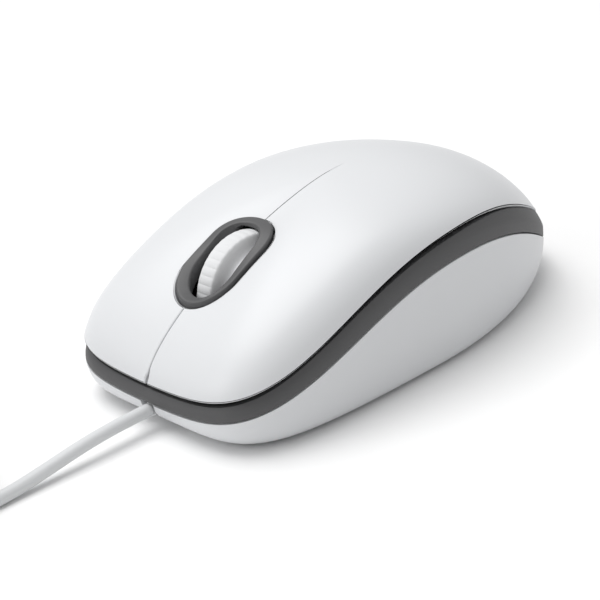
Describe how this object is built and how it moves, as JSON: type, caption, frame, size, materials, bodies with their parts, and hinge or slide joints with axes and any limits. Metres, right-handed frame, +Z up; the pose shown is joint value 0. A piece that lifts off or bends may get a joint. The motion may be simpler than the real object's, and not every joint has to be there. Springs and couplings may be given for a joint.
{
  "type": "computer mouse",
  "caption": "Corded optical mouse: domed white cover split into flexing buttons, dark trim band, ringed scroll wheel that turns and presses, flat feet, and a coiled cable with a plug.",
  "frame": {"origin": "on the desk under the middle of the case", "axes": "+Z up, +Y towards the palm end and the user, -Y towards the nose where the cable leaves, +X the mouse's own left side"},
  "size_m": [0.0746, 0.1936, 0.0381],
  "materials": {
    "white_shell": "smooth moulded white plastic",
    "dark_trim": "dark grey satin plastic",
    "pale_rubber": "soft pale rubber, ribbed across",
    "black_plastic": "black moulded plastic",
    "clear_plastic": "clear moulded plastic",
    "board_laminate": "green solder mask over glass laminate",
    "bright_steel": "plated steel",
    "gold_contact": "plated contact",
    "label_film": "pale film or moulding",
    "pale_cord": "pale soft jacket",
    "red_wire": "red wire insulation",
    "green_wire": "green wire insulation"
  },
  "bodies": {
    "case": {"bottom_shell": "white_shell", "palm_cover": "white_shell", "trim_band": "dark_trim", "wheel_bezel": "dark_trim", "carrier_spring": "bright_steel", "circuit_board": "board_laminate", "sensor_chip": "black_plastic", "sensor_lens": "clear_plastic", "sensor_led": "clear_plastic", "led_clip": "black_plastic", "left_switch_base": "black_plastic", "right_switch_base": "black_plastic", "left_switch_cover": "label_film", "right_switch_cover": "label_film", "middle_switch_case": "black_plastic", "ir_emitter": "clear_plastic", "ir_receiver": "black_plastic", "capacitor": "black_plastic", "board_header": "label_film", "cable_socket": "label_film", "wire_red": "red_wire", "wire_green": "green_wire", "wire_white": "label_film", "wire_black": "black_plastic", "cable_grommet": "pale_cord", "cable": "pale_cord", "cable_coil": "pale_cord", "cable_tail": "pale_cord", "cable_tie": "black_plastic", "plug_overmould": "pale_cord", "plug_shell": "bright_steel", "plug_insert": "label_film", "plug_contact_1": "gold_contact", "plug_contact_2": "gold_contact", "plug_contact_3": "gold_contact", "plug_contact_4": "gold_contact", "front_left_foot": "black_plastic", "front_right_foot": "black_plastic", "rear_left_foot": "black_plastic", "rear_right_foot": "black_plastic", "rating_label": "label_film", "left_board_screw": "bright_steel", "right_board_screw": "bright_steel", "left_case_screw": "bright_steel", "right_case_screw": "bright_steel"},
    "left_button": {"left_button": "white_shell"},
    "right_button": {"right_button": "white_shell"},
    "left_plunger": {"left_switch_plunger": "black_plastic"},
    "right_plunger": {"right_switch_plunger": "black_plastic"},
    "middle_plunger": {"middle_switch_plunger": "pale_rubber"},
    "wheel_carrier": {"wheel_carrier": "black_plastic"},
    "scroll_wheel": {"wheel_hub": "clear_plastic", "wheel_tyre": "pale_rubber"}
  },
  "joints": [
    {"name": "left_button_press", "type": "hinge", "parent": "case", "child": "left_button", "pos_m": [0, 0.0065, 0.03735], "axis": [1, 0, 0], "range_deg": [0, 0.8], "stiffness_Nm_per_rad": 2},
    {"name": "right_button_press", "type": "hinge", "parent": "case", "child": "right_button", "pos_m": [0, 0.0065, 0.03735], "axis": [1, 0, 0], "range_deg": [0, 0.8], "stiffness_Nm_per_rad": 2},
    {"name": "left_plunger_travel", "type": "slide", "parent": "case", "child": "left_plunger", "axis": [0, 0, -1], "range_m": [0, 0.0006]},
    {"name": "right_plunger_travel", "type": "slide", "parent": "case", "child": "right_plunger", "axis": [0, 0, -1], "range_m": [0, 0.0006]},
    {"name": "wheel_press", "type": "slide", "parent": "case", "child": "wheel_carrier", "axis": [0, 0, -1], "range_m": [0, 0.0006], "stiffness_N_per_m": 2500, "deforming": ["carrier_spring"]},
    {"name": "middle_plunger_travel", "type": "slide", "parent": "case", "child": "middle_plunger", "axis": [0, 0, -1], "range_m": [0, 0.0006]},
    {"name": "wheel_spin", "type": "hinge", "parent": "wheel_carrier", "child": "scroll_wheel", "pos_m": [0, -0.027, 0.02074], "axis": [1, 0, 0], "continuous": true}
  ],
  "couplings": [
    {"joint": "left_plunger_travel", "follows": "left_button_press", "m_per_rad": 0.0425},
    {"joint": "right_plunger_travel", "follows": "right_button_press", "m_per_rad": 0.0425},
    {"joint": "middle_plunger_travel", "follows": "wheel_press", "ratio": 1}
  ]
}
